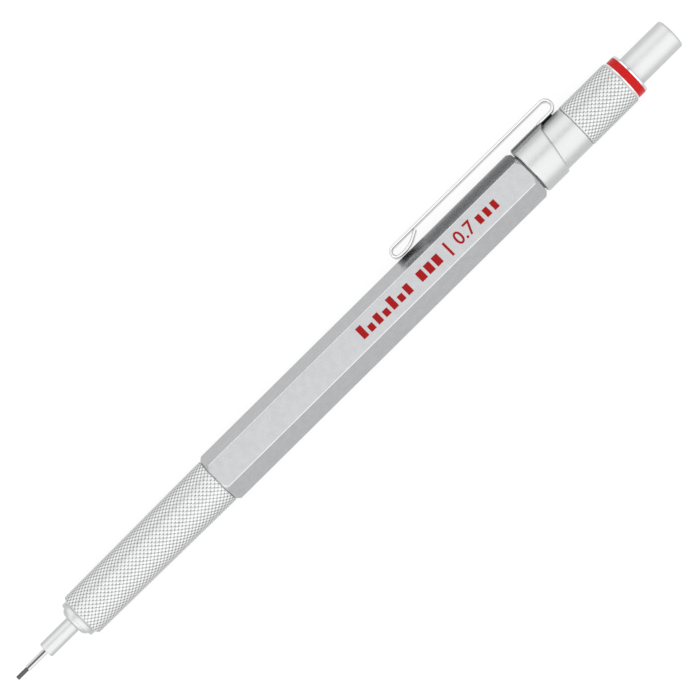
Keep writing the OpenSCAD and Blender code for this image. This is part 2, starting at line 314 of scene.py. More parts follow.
def calculate(material, operation, a, b):
    """The result of one math node on two values."""
    nodes, link = links(material)
    node = nodes.new("ShaderNodeMath")
    node.operation = operation
    for socket, value in zip(node.inputs, (a, b)):
        if isinstance(value, (int, float)):
            socket.default_value = value
        else:
            link(value, socket)
    return node.outputs["Value"]


def tint(material, shader, color, factor):
    """The base colour, multiplied by a varying factor."""
    nodes, link = links(material)
    node = nodes.new("ShaderNodeVectorMath")
    node.operation = "SCALE"
    node.inputs[0].default_value = color
    link(factor, node.inputs["Scale"])
    link(node.outputs["Vector"], shader.inputs["Base Color"])


def bump(material, shader, *layers):
    """Fine relief. Each layer is (height value, depth in micrometres)."""
    nodes, link = links(material)
    below = None
    for height, depth in layers:
        node = nodes.new("ShaderNodeBump")
        set_inputs(node, {"Strength": 1, "Distance": depth * 1e-6})
        link(height, node.inputs["Height"])
        if below:
            link(below, node.inputs["Normal"])
        below = node.outputs["Normal"]
    link(below, shader.inputs["Normal"])


def attribute(material, label):
    """The value per point that a mesh carries under this label."""
    node = links(material)[0].new("ShaderNodeAttribute")
    node.attribute_name = label
    return node.outputs["Fac"]


CHROME = (0.50, 0.503, 0.506)
KNURL_CHROME = (0.57, 0.573, 0.576)
PEARL = (0.43, 0.434, 0.442)
MATT = (0.535, 0.538, 0.541)
BLACKENED = (0.16, 0.16, 0.163)
STEEL = (0.60, 0.60, 0.605)
SPRING_STEEL = (0.64, 0.64, 0.64)
BRASS = (0.72, 0.53, 0.24)
GRAPHITE = (0.055, 0.055, 0.058)
RUBBER = (0.018, 0.018, 0.018)
DRUM = (0.52, 0.52, 0.50)
VINYL = (0.50, 0.50, 0.49)
SMOKE = (0.60, 0.63, 0.65)
RED = (0.40, 0.004, 0.005)
PRINT_RED = (0.25, 0.002, 0.003)
INK_GLOSS = 0.12
DARKEST_PAINTED_SHADE = 0.98
CORNER_HIGHLIGHT = 0.5


def with_painted_shading(material, tone):
    """A tone, darkened as painted shade where the mesh's shading attribute is above 0, and brightened
    as a painted highlight where it is below 0.
    """
    painted_share = calculate(material, "MULTIPLY", attribute(material, "grime"), DARKEST_PAINTED_SHADE)
    return calculate(material, "MULTIPLY", tone, calculate(material, "SUBTRACT", 1, painted_share))


finishes = {}


def add_finish(name, color, metallic, roughness, pattern, tones, dull, *layers, shows_painted_shading=False, fine=None):
    """Keeps a finish whose tone and roughness follow noise, and returns its shader.

    fine has the settings of another noise for the roughness. layers are (noise settings, depth in
    micrometres) of the relief, where None stands for the noise of the roughness.
    """
    material, shader = new_finish(name, color, metallic, roughness)
    cloud = noise(material, *pattern)
    grain = noise(material, *fine) if fine else cloud
    tone = ramp(material, cloud, *tones)
    # Finishes that take it carry the mesh's painted shade and painted highlight in their tone.
    tint(material, shader, color, with_painted_shading(material, tone) if shows_painted_shading else tone)
    links(material)[1](ramp(material, grain, *dull), shader.inputs["Roughness"])
    if layers:
        bump(material, shader, *[(noise(material, *own) if own else grain, depth)
                                 for own, depth in layers])
    finishes[name] = material
    return shader


def pearl_chrome():
    """The barrel's flats: a fine pearly speckle, with a painted highlight along the rounded corners."""
    material, shader = new_finish("pearl_chrome", PEARL, 1, 0.3)
    cloud, speck = noise(material, 1.1, 4), noise(material, 0.2, 2)
    mottle = calculate(material, "MULTIPLY", ramp(material, cloud, 0.96, 1.02),
                       ramp(material, speck, 0.97, 1.02))
    painted_highlight = calculate(material, "MULTIPLY", attribute(material, "edge"), CORNER_HIGHLIGHT)
    tint(material, shader, PEARL, calculate(material, "ADD", mottle, painted_highlight))
    links(material)[1](ramp(material, speck, 0.22, 0.28), shader.inputs["Roughness"])
    bump(material, shader, (speck, 0.7), (noise(material, 0.05, 2), 0.4))
    finishes["pearl_chrome"] = material


# Turned satin chrome: cloudy blasting with the faint rings that a lathe leaves under it.
add_finish("satin_chrome", CHROME, 1, 0.3, (0.45,), (0.98, 1.02), (0.36, 0.41),
           ((0.05, 2), 0.5), ((0.09, 2, (1, 60, 60)), 0.5), shows_painted_shading=True)
# The push button's plating, blasted a little coarser than the rest.
add_finish("matt_chrome", MATT, 1, 0.46, (0.5,), (0.98, 1.02), (0.44, 0.49), ((0.06, 2), 0.7),
           shows_painted_shading=True)
# Knurling keeps more shine than the blasted surfaces, and carries painted shade where grooves cross.
add_finish("knurled_chrome", KNURL_CHROME, 1, 0.3, (0.6,), (0.97, 1.03), (0.26, 0.34), (None, 0.6),
           shows_painted_shading=True, fine=(0.06, 2))
pearl_chrome()
# Drawn or fine-turned steel, with faint handling marks.
add_finish("bright_steel", STEEL, 1, 0.16, (0.6,), (0.96, 1.03), (0.12, 0.21),
           ((0.04, 2, (30, 1, 1)), 0.4), shows_painted_shading=True)
# Rolled strip: polished, with long faint scratches and slightly duller patches.
add_finish("spring_steel", SPRING_STEEL, 1, 0.14, (1.5, 3, (3, 1, 1)), (0.97, 1.03), (0.12, 0.2),
           ((0.03, 2, (80, 1, 1)), 0.35), shows_painted_shading=True)
add_finish("brass", BRASS, 1, 0.26, (0.9, 4), (0.82, 1.05), (0.22, 0.36),
           ((0.07, 2, (1, 50, 50)), 1.2), shows_painted_shading=True)
# The barrel's bush, dark all over, so that it gives painted shade where it shows in the shadowed groove
# before the band.
add_finish("blackened_brass", BLACKENED, 1, 0.42, (0.5, 4), (0.7, 1.2), (0.36, 0.5), (None, 0.8))
# Grey flakes, drawn out along the lead.
add_finish("graphite", GRAPHITE, 0.35, 0.36, (0.05, 3, (3, 1, 1)), (0.7, 1.5), (0.28, 0.46),
           ((0.06, 2, (20, 1, 1)), 1.5), (None, 1.5))
add_finish("black_rubber", RUBBER, 0, 0.62, (0.3, 4), (0.8, 1.6), (0.55, 0.72), ((0.05, 3), 4))
# The magazine's extruded tube: frosted, so the leads inside show as soft shadows.
frosted = add_finish("clear_grey_plastic", SMOKE, 0, 0.24, (0.5, 3, (4, 1, 1)), (0.95, 1.03),
                     (0.18, 0.34), ((0.12, 2, (20, 1, 1)), 1.5))
set_inputs(frosted, {"Transmission Weight": 0.72, "IOR": 1.49})
# The eraser, smudged with use.
vinyl = add_finish("white_vinyl", VINYL, 0, 0.5, (1.2, 4), (0.9, 1.02), (0.44, 0.58), ((0.08, 3), 5))
set_inputs(vinyl, {"Subsurface Weight": 0.15, "Subsurface Scale": 0.4 * MM})
add_finish("drum_white", DRUM, 0, 0.42, (0.7, 3), (0.95, 1.03), (0.36, 0.5),
           ((0.1, 2, (1, 30, 30)), 1.5))
# Saturated red enamel with a faint turned grain, and screen-printed ink of uneven density.
enamel = add_finish("signal_red", RED, 0, 0.32, (0.4, 3), (0.93, 1.06), (0.28, 0.38),
                    ((0.06, 2, (1, 50, 50)), 1.0))
ink = add_finish("print_red", PRINT_RED, 0, 0.4, (0.12, 3), (0.85, 1.15), (0.34, 0.5), (None, 1.5))
for red in (enamel, ink):
    set_inputs(red, {"Specular IOR Level": INK_GLOSS})
# Ink of the printed grades on the drum.
add_finish("dark_ink", RUBBER, 0, 0.45, (0.1, 3), (0.8, 1.5), (0.4, 0.55))


# ---- turned surfaces with a pattern

THREAD_PITCH = 0.5
THREAD_ROWS = 8


def thread_rings(x0, x1, crest, depth, angles):
    """Rings of a V thread. Its rows climb one turn on the way round, so they follow its crest."""
    rings = []
    for j in range(-THREAD_ROWS, ceil((x1 - x0) / THREAD_PITCH * THREAD_ROWS) + 1):
        points = []
        for a in angles:
            x = min(max(x0 + (j / THREAD_ROWS + a / TAU) * THREAD_PITCH, x0), x1)
            phase = ((x - x0) / THREAD_PITCH - a / TAU) % 1
            points.append(polar(x, crest - depth * (1 - abs(2 * phase - 1)), a))
        rings.append(points)
    return rings


def threaded(node, before, after, x0, x1, crest, depth, finish=None):
    """A piece with a threaded stretch between the outline's points before and after it."""
    angles = around(96)
    start, rows = turned_rings(before, angles), thread_rings(x0, x1, crest, depth, angles)
    helix = (len(start), len(start) + len(rows) - 1, THREAD_ROWS)
    points, faces = skin(start + rows + turned_rings(after, angles), helix=helix)
    dress(solid(node + "_fine", points, faces), node, finish)


KNURL_STARTS = 32
KNURL_STEPS = 6
KNURL_PITCH = 0.856
KNURL_DEPTH = 0.1
KNURL_HALF = 0.37
KNURL_PAINTED_SHADE = 0.88
KNURL_SHADE_THRESHOLD = 0.65
RIM_PAINTED_HIGHLIGHT = 0.3


def groove_cut(turn_share):
    """Depth share of a V groove, from 1 at its middle to 0 at its lip, by distance from its line."""
    distance = abs(turn_share - round(turn_share))
    return max(0, 1 - distance / KNURL_HALF)


def knurl_rows(x0, x1, peak, limit):
    """Rows of a diamond knurl, and each point's painted shade, darkest where grooves cross. peak and
    limit give radii from x.
    """
    count = KNURL_STARTS * KNURL_STEPS
    rows = 2 * round((x1 - x0) / (KNURL_PITCH / KNURL_STEPS))
    rings, grime = [], []
    for j in range(rows + 1):
        x = x0 + (x1 - x0) * j / rows
        points = []
        for i in range(count):
            place = i + (j % 2) / 2
            one = groove_cut((place + j / 2) / KNURL_STEPS)
            other = groove_cut((place - j / 2) / KNURL_STEPS)
            cut = max(one, other)
            r = min(peak(x) - KNURL_DEPTH * cut, limit(x))
            # Painted shade where both grooves cut deep, darkest where they cross.
            painted_share = KNURL_PAINTED_SHADE * max(0, one + other - KNURL_SHADE_THRESHOLD) / (2 - KNURL_SHADE_THRESHOLD)
            points.append(polar(x, r, TAU * place / count))
            grime.append(painted_share if r < limit(x) else 0.0)
        rings.append(points)
    return rings, grime


def knurled(node, before, after, x0, x1, peak, limit):
    """A piece with a knurled stretch between the outline's points before and after it."""
    angles = around(KNURL_STARTS * KNURL_STEPS)
    rows, grime = knurl_rows(x0, x1, peak, limit)
    start, stop = turned_rings(before, angles), turned_rings(after, angles)
    points, faces = skin(start + rows + stop, lattice=(len(start), len(start) + len(rows) - 1))
    plain = len(angles)
    # The plain surfaces after the knurl, the knob's rim among them, get a painted highlight.
    shades = [0.0] * (plain * len(start)) + grime + [-RIM_PAINTED_HIGHLIGHT] * (plain * len(stop))
    dress(solid(node + "_fine", points, faces, 25, {"grime": shades}), node, "knurled_chrome")


# ---- nose

REFLECTION_STREAK, REFLECTION_STREAK_AT, REFLECTION_STREAK_SPREAD = 0.95, 90, 24
tip_x, sleeve_root_x = ends("guide_sleeve")
nose_x, spigot_end_x = ends("nose_cone")
flange_r = reach("nose_cone")
sleeve_r = mounts["guide_sleeve"]["dims"]["r_mm"]
shank_r = mounts["tip_shank"]["dims"]["r_mm"]
lead_r = reach("lead")
sleeve_bore = lead_r + 0.04
sleeve_root_r = reach("guide_sleeve")
sleeve_flare_x = nose_x + 0.5
retainer_x, retainer_end_x = ends("lead_retainer")
retainer_r = reach("lead_retainer")
funnel_r = lead_r + 0.15
shank_end_x = nose_x + 5.95
flange_x = shank_end_x + 0.8
flange_end_x = flange_x + 0.65
shoulder_from_r, shoulder_to_r = 1.79, 2.64
spigot_r = 2.7
neck_r, neck_end_x = 3.24, flange_end_x + 0.17
mouth_x, mouth_r = flange_x + 0.15, 1.6
chamber_x, chamber_r = mouth_x + 3.7, 1.9
NOSE_THREAD_DEPTH = 0.22

lead_x, lead_end_x = ends("lead")
turned("lead", [
    (lead_x, 0), (lead_x, lead_r, 0.07), (lead_end_x, lead_r, 0.03), (lead_end_x, 0)], 48)


def painted_reflection_streak(p):
    """A painted dark reflection: a grey streak along the upper side of the guide sleeve."""
    off = degrees(atan2(p.z, p.y)) - REFLECTION_STREAK_AT
    return REFLECTION_STREAK * exp(-(off / REFLECTION_STREAK_SPREAD) ** 2)


turned("guide_sleeve", [
    (tip_x, sleeve_bore, 0.03), (tip_x, sleeve_r, 0.06), (nose_x, sleeve_r),
    (sleeve_flare_x, sleeve_root_r), (sleeve_root_x, sleeve_root_r, 0.05),
    (sleeve_root_x, sleeve_bore)], 96, grime=painted_reflection_streak)


def shoulder(steps=8):
    """Quarter of an ellipse between the shank and the flange."""
    rise = shoulder_to_r - shoulder_from_r
    length = flange_x - shank_end_x
    return [(shank_end_x + length * (1 - cos(pi / 2 * i / steps)),
             shoulder_from_r + rise * sin(pi / 2 * i / steps)) for i in range(steps + 1)]


threaded("nose_cone", [
    (nose_x, sleeve_r, 0.03), (nose_x, shank_r, 0.16), (shank_end_x, shank_r, 0.05), *shoulder(),
    (flange_x, flange_r, 0.14), (flange_end_x, flange_r, 0.03), (flange_end_x, neck_r),
    (neck_end_x, neck_r), (neck_end_x, spigot_r - 0.2)], [
    (spigot_end_x, spigot_r - 0.25, 0.05), (spigot_end_x, chamber_r, 0.05), (chamber_x, chamber_r),
    (chamber_x, mouth_r, 0.1), (mouth_x, mouth_r), (mouth_x, funnel_r, 0.1),
    (retainer_end_x, funnel_r), (retainer_end_x, retainer_r), (retainer_x, retainer_r),
    (retainer_x, sleeve_root_r), (sleeve_flare_x, sleeve_root_r)],
    neck_end_x + 0.03, spigot_end_x - 0.15, spigot_r, NOSE_THREAD_DEPTH)

turned("lead_retainer", [
    (retainer_x, lead_r + 0.02, 0.08), (retainer_x, retainer_r, 0.12),
    (retainer_end_x, retainer_r, 0.12), (retainer_end_x, lead_r + 0.02, 0.08)], 48)


# ---- grip

grip_x, grip_end_x = ends("grip_sleeve")
grip_front_r, grip_rear_r = 3.85, reach("grip_sleeve")
grip_bore_r, joint_r = 2.9, 3.3
socket_x = grip_end_x - 6.2
stop_x, stop_end_x = ends("spring_stop")
front_bore_r = spigot_r + 0.05
FRONT_CHAMFER = 0.35


def grip_peak(x):
    """Radius of the knurl's crests, which widen towards the barrel."""
    return grip_front_r + (grip_rear_r - grip_front_r) * (x - grip_x) / (grip_end_x - grip_x)


def grip_limit(x):
    """Cones that trim the knurl at both ends of the grip."""
    front = grip_front_r - FRONT_CHAMFER - 0.1 + (x - grip_x) * (FRONT_CHAMFER + 0.1) / FRONT_CHAMFER
    rear = grip_rear_r - 0.14 + (grip_end_x - x)
    return min(front, rear)


knurled("grip_sleeve", [], [
    (grip_end_x, joint_r), (socket_x, joint_r), (socket_x, grip_bore_r), (stop_x, grip_bore_r),
    (stop_x, front_bore_r), (grip_x, front_bore_r, 0.1)], grip_x, grip_end_x, grip_peak, grip_limit)

turned("spring_stop", [
    (stop_x, 1.3, 0.1), (stop_x, grip_bore_r, 0.12), (stop_end_x, grip_bore_r, 0.12),
    (stop_end_x, 1.3, 0.1)])


# ---- hexagonal barrel

barrel_front_x, barrel_end_x = ends("hex_barrel")
barrel_x = grip_end_x + 0.1
flat = -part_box("hex_barrel")[0].z / MM
CORNER_ROUND = 0.13
END_EDGE = 0.05
end_r = 4.04
end_slope = 0.82
barrel_bore_r = 3.1
COLUMNS_ON_FLAT = 14
COLUMNS_ON_CORNER = 6
tangent = atan((flat - CORNER_ROUND) * tan(pi / 6) / flat)


def hexagon(a):
    """Radius of the rounded hexagon at an angle. A flat's middle is at +Z, a corner at +Y."""
    off = (a + pi / 6) % (pi / 3) - pi / 6
    corner = abs(off)
    if corner > pi / 6 - tangent:
        return flat / cos(pi / 6 - corner)
    centre = (flat - CORNER_ROUND) / cos(pi / 6)
    return centre * cos(corner) + sqrt(CORNER_ROUND ** 2 - (centre * sin(corner)) ** 2)


def hexagon_angles():
    """Angles with extra columns at the rounded corners, and how near each is to a corner."""
    angles, near = [], []
    half = pi / 6 - tangent
    for corner in range(6):
        middle = corner * pi / 3
        for i in range(COLUMNS_ON_CORNER + 1):
            share = 2 * i / COLUMNS_ON_CORNER - 1
            angles.append(middle + half * share)
            near.append(1 - share ** 2)
        for i in range(1, COLUMNS_ON_FLAT):
            angles.append(middle + half + (pi / 3 - 2 * half) * i / COLUMNS_ON_FLAT)
            near.append(0)
    return angles, near


def hex_barrel():
    """The barrel: flats between two ends that a cone has turned down."""
    angles, near = hexagon_angles()

    def crease(a):
        """How far from the end face the cone meets the hexagon."""
        return max(END_EDGE, (hexagon(a) - end_r) / end_slope)

    def end_ring(x, side, share):
        """A ring on the turned cone: share 0 at the end face, 1 at the crease with the hexagon."""
        def radius(a):
            return min(hexagon(a) - END_EDGE, end_r) * (1 - share) + hexagon(a) * share
        return ring(lambda a: x + side * crease(a) * share, radius, angles)

    def body_ring(x, side, beyond):
        """A ring of the hexagon, this far beyond the crease."""
        return ring(lambda a: x + side * (crease(a) + beyond), hexagon, angles)

    rings = [
        ring(barrel_front_x, grip_bore_r, angles), ring(barrel_front_x, joint_r - 0.1, angles),
        ring(barrel_front_x + 0.1, joint_r, angles), ring(barrel_x, joint_r, angles),
        end_ring(barrel_x, 1, 0), end_ring(barrel_x, 1, 0.94), body_ring(barrel_x, 1, 0.03)]
    plain = len(rings) - 1
    stations = 12
    for i in range(1, stations):
        x = barrel_x + 1 + (barrel_end_x - barrel_x - 2) * i / stations
        rings.append(ring(x, hexagon, angles))
    rings += [
        body_ring(barrel_end_x, -1, 0.03), end_ring(barrel_end_x, -1, 0.94),
        end_ring(barrel_end_x, -1, 0), ring(barrel_end_x, barrel_bore_r, angles),
        ring(barrel_x + 1, barrel_bore_r, angles), ring(barrel_x + 1, grip_bore_r, angles)]
    # The corners' columns carry the painted highlight of the pearl finish.
    shades = []
    for index in range(len(rings)):
        on_body = plain <= index < plain + stations + 1
        shades += near if on_body else [0.0] * len(angles)
    barrel = solid("hex_barrel_fine", *skin(rings), 50, {"edge": shades})
    dress(barrel, "hex_barrel", "pearl_chrome")


hex_barrel()


# ---- clutch and magazine

connector_x, connector_end_x = ends("tube_connector")
connector_r = reach("tube_connector")
shank_x, stem_end_x = ends("clutch_shank")
stem_r, stem_bore_r = reach("clutch_shank"), 0.45
tube_x, tube_end_x = ends("lead_tube")
tube_r, tube_bore_r, tube_end_r = 2.0, 1.6, reach("lead_tube")
SPRING_WIRE = 0.17
SPRING_R = 1.6
SPRING_TURNS = 9
SPRING_END_GAP = 0.47


def tube_along(path, radius, sides):
    """Points and faces of a closed round wire along a path."""
    rings = []
    for i, here in enumerate(path):
        ahead = path[min(i + 1, len(path) - 1)]
        behind = path[max(i - 1, 0)]
        along = (ahead - behind).normalized()
        out = Vector((0, here.y, here.z)).normalized()
        out = (out - along * out.dot(along)).normalized()
        side = along.cross(out)
        rings.append([here + radius * (out * cos(TAU * k / sides) + side * sin(TAU * k / sides))
                      for k in range(sides)])
    return skin([[path[0]]] + rings + [[path[-1]]], False)


def return_spring():
    """Compression spring with one closed turn at each end."""
    first = stop_end_x + SPRING_WIRE
    last = connector_x - SPRING_WIRE
    open_pitch = (last - first - 2 * SPRING_END_GAP) / (SPRING_TURNS - 2)
    steps = 40
    path = []
    x = first
    for i in range(SPRING_TURNS * steps + 1):
        turn = i / steps
        path.append(polar(x, SPRING_R, TAU * turn))
        at_end = turn < 1 or turn >= SPRING_TURNS - 1
        x += (SPRING_END_GAP if at_end else open_pitch) / steps
    wire = solid("return_spring_fine", *tube_along(path, SPRING_WIRE, 12), 60)
    return dress(wire, "return_spring")


spring = return_spring()
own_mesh(spring)

ring_x, ring_end_x = ends("clutch_ring")
ring_r = reach("clutch_ring")
jaw_x, jaw_end_x = ends("clutch_jaw_1")
jaw_head_r, jaw_neck_r, jaw_stem_r = 1.3, 1.02, 0.93
JAW_GAP = 0.06
RING_GAP = 0.05
JAW_BITE = 3
TOOTH = 0.25
jaw_taper_x = jaw_x + 1


def jaw_outline():
    """Section of a jaw, with the teeth that bite the lead."""
    outer = [(jaw_x, jaw_head_r - 0.2), (jaw_x + 0.2, jaw_head_r), (jaw_taper_x, jaw_head_r),
             (ring_end_x, jaw_neck_r), (ring_end_x + 0.2, jaw_stem_r), (jaw_end_x, jaw_stem_r)]
    inner = [(jaw_end_x, stem_bore_r + 0.05), (jaw_x + JAW_BITE, stem_bore_r + 0.05)]
    for i in range(int(JAW_BITE / TOOTH)):
        x = jaw_x + JAW_BITE - TOOTH * i
        inner += [(x, lead_r + 0.02), (x - TOOTH * 0.8, lead_r + 0.06)]
    return outer + inner + [(jaw_x, lead_r + 0.02)]


def clutch_jaw(number):
    """One of the three jaws, with a narrow gap to the next on both sides."""
    outline = jaw_outline()
    middle = pi / 2 + TAU / 3 * number
    stations = 20
    sections = []
    for s in range(stations + 1):
        share = 2 * s / stations - 1
        sections.append([polar(x, r, middle + share * (pi / 3 - asin(JAW_GAP / r)))
                         for x, r in outline])
    node = "clutch_jaw_%d" % (number + 1)
    dress(solid(node + "_fine", *capped(sections), 30), node)


for number in range(3):
    clutch_jaw(number)

taper = (jaw_neck_r - jaw_head_r) / (ring_end_x - jaw_taper_x)
ring_front_r = jaw_head_r + taper * (ring_x - jaw_taper_x) + RING_GAP
turned("clutch_ring", [
    (ring_x, ring_front_r), (ring_x, ring_r, 0.15), (ring_end_x, ring_r, 0.15),
    (ring_end_x, jaw_neck_r + RING_GAP)])
turned("clutch_shank", [
    (shank_x, stem_bore_r), (shank_x, stem_r, 0.04), (stem_end_x, stem_r), (stem_end_x, stem_bore_r)])
seat_x = connector_x + 4
turned("tube_connector", [
    (connector_x, stem_r), (connector_x, connector_r, 0.2), (connector_end_x, connector_r, 0.2),
    (connector_end_x, tube_r), (seat_x, tube_r), (seat_x, tube_bore_r), (stem_end_x, stem_bore_r),
    (stem_end_x, stem_r)])
turned("lead_tube", [
    (tube_x, tube_bore_r), (tube_x, tube_r), (tube_end_x - 6.2, tube_r),
    (tube_end_x - 6, tube_end_r, 0.1), (tube_end_x, tube_end_r, 0.08), (tube_end_x, tube_bore_r, 0.08)])


def spare_leads():
    """Spare leads side by side on the bottom of the magazine."""
    first, last = ends("spare_leads")
    count, spread, stagger = 3, radians(44), 1.5
    length = last - first - stagger * (count - 1)
    depth = tube_bore_r - lead_r - 0.02
    rods = []
    for i in range(count):
        a = spread * (i - (count - 1) / 2)
        shift = Vector((0, depth * sin(a), -depth * cos(a)))
        x = first + stagger * i
        outline = [(x, 0), (x, lead_r, 0.04), (x + length, lead_r, 0.04), (x + length, 0)]
        points, faces = skin(turned_rings(outline, around(32)), False)
        rods.append(([p + shift for p in points], faces))
    dress(solid("spare_leads_fine", *join(rods)), "spare_leads")


spare_leads()


# ---- eraser and push button

button_x, button_end_x = ends("push_button")
button_r = reach("push_button")
button_wall = 0.4
plug_x, holder_end_x = ends("eraser_holder")
holder_r = reach("eraser_holder")
eraser_x, eraser_end_x = ends("eraser")
eraser_r = reach("eraser")
crimp_x = tube_end_x + 2.2
crimp_depth = 0.12

turned("eraser_holder", [
    (plug_x, 0), (plug_x, tube_bore_r - 0.03, 0.15), (tube_end_x, tube_bore_r - 0.03),
    (tube_end_x, holder_r, 0.08), (crimp_x - 0.35, holder_r), (crimp_x, holder_r - crimp_depth, 0.2),
    (crimp_x + 0.35, holder_r), (holder_end_x, holder_r, 0.08), (holder_end_x, eraser_r),
    (eraser_x, eraser_r), (eraser_x, 0)])
turned("eraser", [
    (eraser_x, 0), (eraser_x, eraser_r), (eraser_end_x, eraser_r, 0.35), (eraser_end_x, 0)])
turned("push_button", [
    (button_x, button_r - button_wall, 0.05), (button_x, button_r, 0.08),
    (button_end_x - 0.12, button_r, 0.42), (button_end_x - 0.02, button_r * 0.72, 0.3),
    (button_end_x, button_r * 0.4, 0.2), (button_end_x, 0.001), (eraser_end_x + 1, 0.001),
    (eraser_end_x + 1, button_r - button_wall, 0.15)], 128, "matt_chrome")


# ---- bush, indicator sleeve and drum

bush_x, bush_end_x = ends("barrel_bush")
band_x = ends("clip_band")[0]
sleeve_end_x = ends("indicator_sleeve")[1]
indicator_r = reach("indicator_sleeve")
seam_r = reach("barrel_bush") - 0.2
bush_bore_r = tube_r + 0.07
BUSH_THREAD_DEPTH = 0.18
sleeve_inner_r = 3.0
drum_x, drum_end_x = ends("grade_drum")
drum_flange_r = reach("grade_drum")
drum_flange_end_x = drum_x + 0.8
drum_r, drum_bore_r = sleeve_inner_r - 0.05, 2.3
friction_x, friction_end_x = ends("friction_ring")
friction_groove_r = 2.65
drum_shoulder_x = drum_flange_end_x + 0.1
window_x, window_end_x = sleeve_end_x - 3.3, sleeve_end_x - 0.85
window_middle_x = (window_x + window_end_x) / 2
WINDOW_HALF, WINDOW_ROUND, WINDOW_EASE = 2.1, 0.6, 0.05
TONGUE_SHADE, TONGUE_SHADE_SPREAD = 0.5, radians(48)
EDGE_SHADE, EDGE_SHADE_REACH, KNOB_SHADE_FADE = 0.75, 0.3, 1.2

band_r = reach("clip_band")
tongue_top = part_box("clip_band")[1].y / MM
band_long_x = band_x + 6.5
band_middle_x = band_x + 5.27
band_slope = tan(radians(9.3))
LOBE_R, LOBE_Y = 3.0, 1.56
FLARE_FROM = 2.85
FLARE_WIDTH = 1.4
FLARE = 0.55
BAND_SHADE, BAND_SHADE_FROM, BAND_SHADE_TO = 0.5, 3.5, 4.1


def band_radius(a):
    """The band's outside, thicker under the clip's tongue."""
    lobe = LOBE_R ** 2 - (LOBE_Y * sin(a)) ** 2
    return max(band_r, LOBE_Y * cos(a) + sqrt(lobe))


def tongue_side(a):
    """How far an angle is into the band's flare beside the tongue, from 0 to 1."""
    z = abs(band_r * sin(a))
    return min(1, max(0, (FLARE_FROM - z) / FLARE_WIDTH)) if cos(a) > 0 else 0


def band_rear(a):
    """The band's slanting rear edge, which sweeps out into the tongue."""
    y = band_r * cos(a)
    x = band_middle_x + y * band_slope
    if y > 0:
        x += FLARE * tongue_side(a) ** 2
    return min(x, band_long_x)


def rounded_slot(half_x, half_y, rounding, steps=8):
    """Outline of a rounded rectangle about its middle."""
    points = []
    for quarter in range(4):
        across = half_x - rounding if quarter in (0, 3) else rounding - half_x
        up = half_y - rounding if quarter in (0, 1) else rounding - half_y
        for i in range(steps + 1):
            a = pi / 2 * (quarter + i / steps)
            points.append((across + rounding * cos(a), up + rounding * sin(a)))
    return points


def beside_tongue(p):
    """Painted shade on the sleeve beside the clip's tongue, darkest against the band's flared edge."""
    a = atan2(p.z, p.y)
    aside = max(0, 1 - abs(a) / TONGUE_SHADE_SPREAD)
    past_band = p.x - band_rear(a)
    if aside <= 0 or past_band <= -0.4:
        return 0.0
    before_knob = min(1, max(0, (sleeve_end_x - 0.3 - p.x) / KNOB_SHADE_FADE))
    against = exp(-(past_band / EDGE_SHADE_REACH) ** 2) * min(1, aside * 3)
    return min(1, TONGUE_SHADE * aside * before_knob + EDGE_SHADE * against)


def indicator_sleeve():
    """The sleeve, with a window cut in its underside."""
    rows = 40
    stretch = sleeve_end_x - 0.2 - band_middle_x
    shaded = [(band_middle_x + stretch * i / rows, indicator_r) for i in range(rows + 1)]
    outline = [
        (band_x, joint_r), (band_x, indicator_r), *shaded, (sleeve_end_x, indicator_r, 0.07),
        (sleeve_end_x, sleeve_inner_r, 0.05), (drum_shoulder_x, sleeve_inner_r),
        (drum_shoulder_x, joint_r)]
    points, faces = skin(turned_rings(outline, around(192)))
    grime = {"grime": [beside_tongue(p) for p in points]}
    sleeve = solid("indicator_sleeve_fine", points, faces, shades=grime)
    slot = rounded_slot((window_end_x - window_x) / 2, WINDOW_HALF, WINDOW_ROUND)
    cutter = solid("window_cutter", *capped([
        [Vector((window_middle_x + x, y, z)) for x, y in slot] for z in (-indicator_r - 1, -1.5)]))
    opening = sleeve.modifiers.new("window", "BOOLEAN")
    opening.operation = "DIFFERENCE"
    opening.solver = "EXACT"
    opening.object = cutter
    sleeve.modifiers.move(1, 0)
    ease = sleeve.modifiers.new("eased edges", "BEVEL")
    ease.width = WINDOW_EASE * MM
    ease.segments = 2
    ease.limit_method = "ANGLE"
    ease.angle_limit = radians(50)
    sleeve.modifiers.move(2, 1)
    final = evaluated_mesh(sleeve)
    sleeve.modifiers.clear()
    sleeve.data = final
    bpy.data.objects.remove(cutter)
    dress(sleeve, "indicator_sleeve")


threaded("barrel_bush", [(bush_x, bush_bore_r, 0.1), (bush_x, barrel_bore_r - 0.2)], [
    (barrel_end_x - 0.1, barrel_bore_r), (barrel_end_x, barrel_bore_r), (barrel_end_x, seam_r),
    (band_x, seam_r), (band_x, joint_r), (bush_end_x, joint_r, 0.08), (bush_end_x, bush_bore_r, 0.1)],
    bush_x + 0.1, barrel_end_x - 0.2, barrel_bore_r, BUSH_THREAD_DEPTH, "blackened_brass")
indicator_sleeve()

turned("grade_drum", [
    (drum_x, drum_bore_r, 0.05), (drum_x, drum_flange_r, 0.08),
    (drum_flange_end_x, drum_flange_r, 0.08), (drum_flange_end_x, drum_r),
    (friction_x, drum_r, 0.04), (friction_x, friction_groove_r),
    (friction_end_x, friction_groove_r), (friction_end_x, drum_r, 0.04), (drum_end_x, drum_r),
    (drum_end_x, drum_bore_r)])
friction_r = reach("friction_ring")
turned("friction_ring", [
    (friction_x, friction_groove_r, 0.1), (friction_x, friction_r, 0.16),
    (friction_end_x, friction_r, 0.16), (friction_end_x, friction_groove_r, 0.1)])


# ---- lettering

def slice_across(mesh, step):
    """Cuts a mesh across Y every step, so that it can be wrapped round a cylinder."""
    work = bmesh.new()
    work.from_mesh(mesh)
    heights = [v.co.y for v in work.verts]
    for i in range(1, ceil((max(heights) - min(heights)) / step)):
        place = (0, min(heights) + i * step, 0)
        parts = work.verts[:] + work.edges[:] + work.faces[:]
        bmesh.ops.bisect_plane(work, geom=parts, plane_co=place, plane_no=(0, 1, 0))
    work.to_mesh(mesh)
    work.free()


